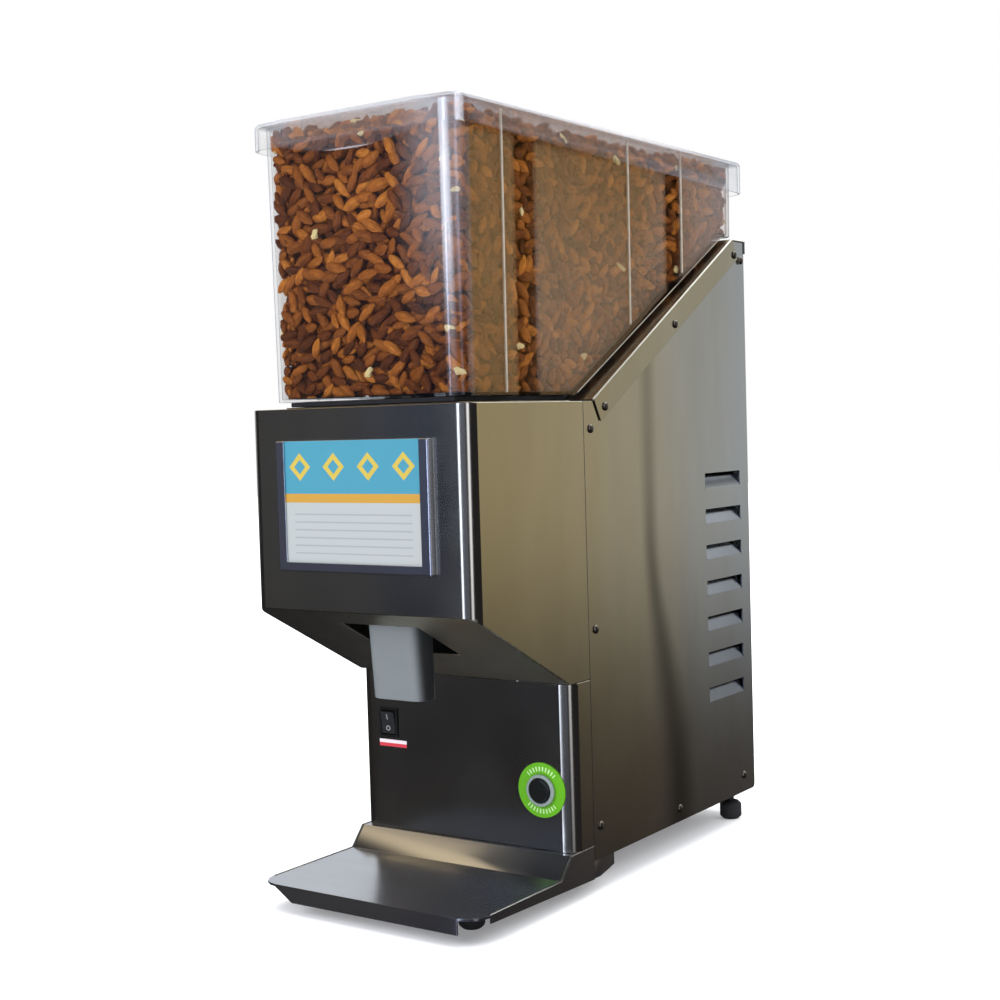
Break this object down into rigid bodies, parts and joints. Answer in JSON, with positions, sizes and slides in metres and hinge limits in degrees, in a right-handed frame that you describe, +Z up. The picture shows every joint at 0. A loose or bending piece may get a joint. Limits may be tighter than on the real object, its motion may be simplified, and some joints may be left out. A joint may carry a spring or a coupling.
{
  "type": "nut butter grinder",
  "caption": "Countertop nut butter grinder: folded steel case with tub tray, spout, power switch and start button, under a clear lidded hopper full of nuts on a sloping saddle.",
  "frame": {"origin": "bottom centre of the whole grinder, on the surface that its feet stand on", "axes": "+Z up, -Y out of the front with the tray and spout, +X to the right of someone facing it"},
  "size_m": [0.2576, 0.5584, 0.726],
  "materials": {
    "case_steel": "brushed stainless steel sheet",
    "tray_steel": "polished stainless steel sheet",
    "galvanised_steel": "dull galvanised sheet",
    "screw_steel": "stainless screws",
    "tool_steel": "ground steel",
    "cast_aluminium": "cast, bead blasted",
    "spout_plastic": "light grey moulding",
    "clear_plastic": "clear, glossy",
    "black_plastic": "black moulding",
    "pale_plastic": "pale grey moulding",
    "ring_green": "bright green",
    "card": "printed card, coated",
    "motor_paint": "dark satin paint",
    "rubber": "black rubber",
    "gasket_rubber": "black rubber",
    "nuts": "brown nut skins"
  },
  "bodies": {
    "case": {"head_cover": "case_steel", "column_front": "case_steel", "side_panel_right": "case_steel", "side_panel_left": "case_steel", "rear_panel": "case_steel", "saddle": "case_steel", "sign_holder": "case_steel", "tray": "tray_steel", "base_pan": "galvanised_steel", "motor_shelf": "galvanised_steel", "fan_cowl": "galvanised_steel", "seam_screw_right_1": "screw_steel", "seam_screw_right_2": "screw_steel", "seam_screw_right_3": "screw_steel", "seam_screw_left_1": "screw_steel", "seam_screw_left_2": "screw_steel", "seam_screw_left_3": "screw_steel", "saddle_screw_right_1": "screw_steel", "saddle_screw_right_2": "screw_steel", "saddle_screw_right_3": "screw_steel", "saddle_screw_left_1": "screw_steel", "saddle_screw_left_2": "screw_steel", "saddle_screw_left_3": "screw_steel", "fixed_disc": "tool_steel", "bearing_front": "tool_steel", "bearing_rear": "tool_steel", "mill_housing": "cast_aluminium", "mill_cover": "cast_aluminium", "motor_bell_front": "cast_aluminium", "motor_bell_rear": "cast_aluminium", "motor_cradle_1": "cast_aluminium", "motor_cradle_2": "cast_aluminium", "motor_frame": "motor_paint", "capacitor": "black_plastic", "spout": "spout_plastic", "rocker_bezel": "black_plastic", "contact_block": "black_plastic", "power_inlet": "black_plastic", "button_collar": "pale_plastic", "button_ring": "ring_green", "foot_front_right": "rubber", "foot_front_left": "rubber", "foot_rear_right": "rubber", "foot_rear_left": "rubber", "hopper_gasket": "gasket_rubber"},
    "hopper": {"hopper": "clear_plastic", "nut_fill": "nuts"},
    "lid": {"hopper_lid": "clear_plastic"},
    "shaft": {"rotor": "tool_steel", "auger": "tool_steel", "turning_disc": "tool_steel", "disc_nut": "tool_steel", "fan": "black_plastic"},
    "rocker": {"rocker": "black_plastic"},
    "start_button": {"start_button": "black_plastic"},
    "sign_card": {"sign_card": "card"}
  },
  "joints": [
    {"name": "hopper_lift", "type": "slide", "parent": "case", "child": "hopper", "axis": [0, 0, 1], "range_m": [0, 0.25]},
    {"name": "lid_lift", "type": "slide", "parent": "hopper", "child": "lid", "axis": [0, 0, 1], "range_m": [0, 0.15]},
    {"name": "shaft_spin", "type": "hinge", "parent": "case", "child": "shaft", "pos_m": [0, -0.06875, 0.355], "axis": [0, 1, 0], "continuous": true},
    {"name": "rocker_tilt", "type": "hinge", "parent": "case", "child": "rocker", "pos_m": [-0.09, -0.12075, 0.152], "axis": [-1, 0, 0], "range_deg": [0, 16]},
    {"name": "button_press", "type": "slide", "parent": "case", "child": "start_button", "axis": [0, 1, 0], "range_m": [0, 0.004], "stiffness_N_per_m": 300, "springref_m": -0.004},
    {"name": "card_lift", "type": "slide", "parent": "case", "child": "sign_card", "axis": [0, 0, 1], "range_m": [0, 0.112]}
  ]
}
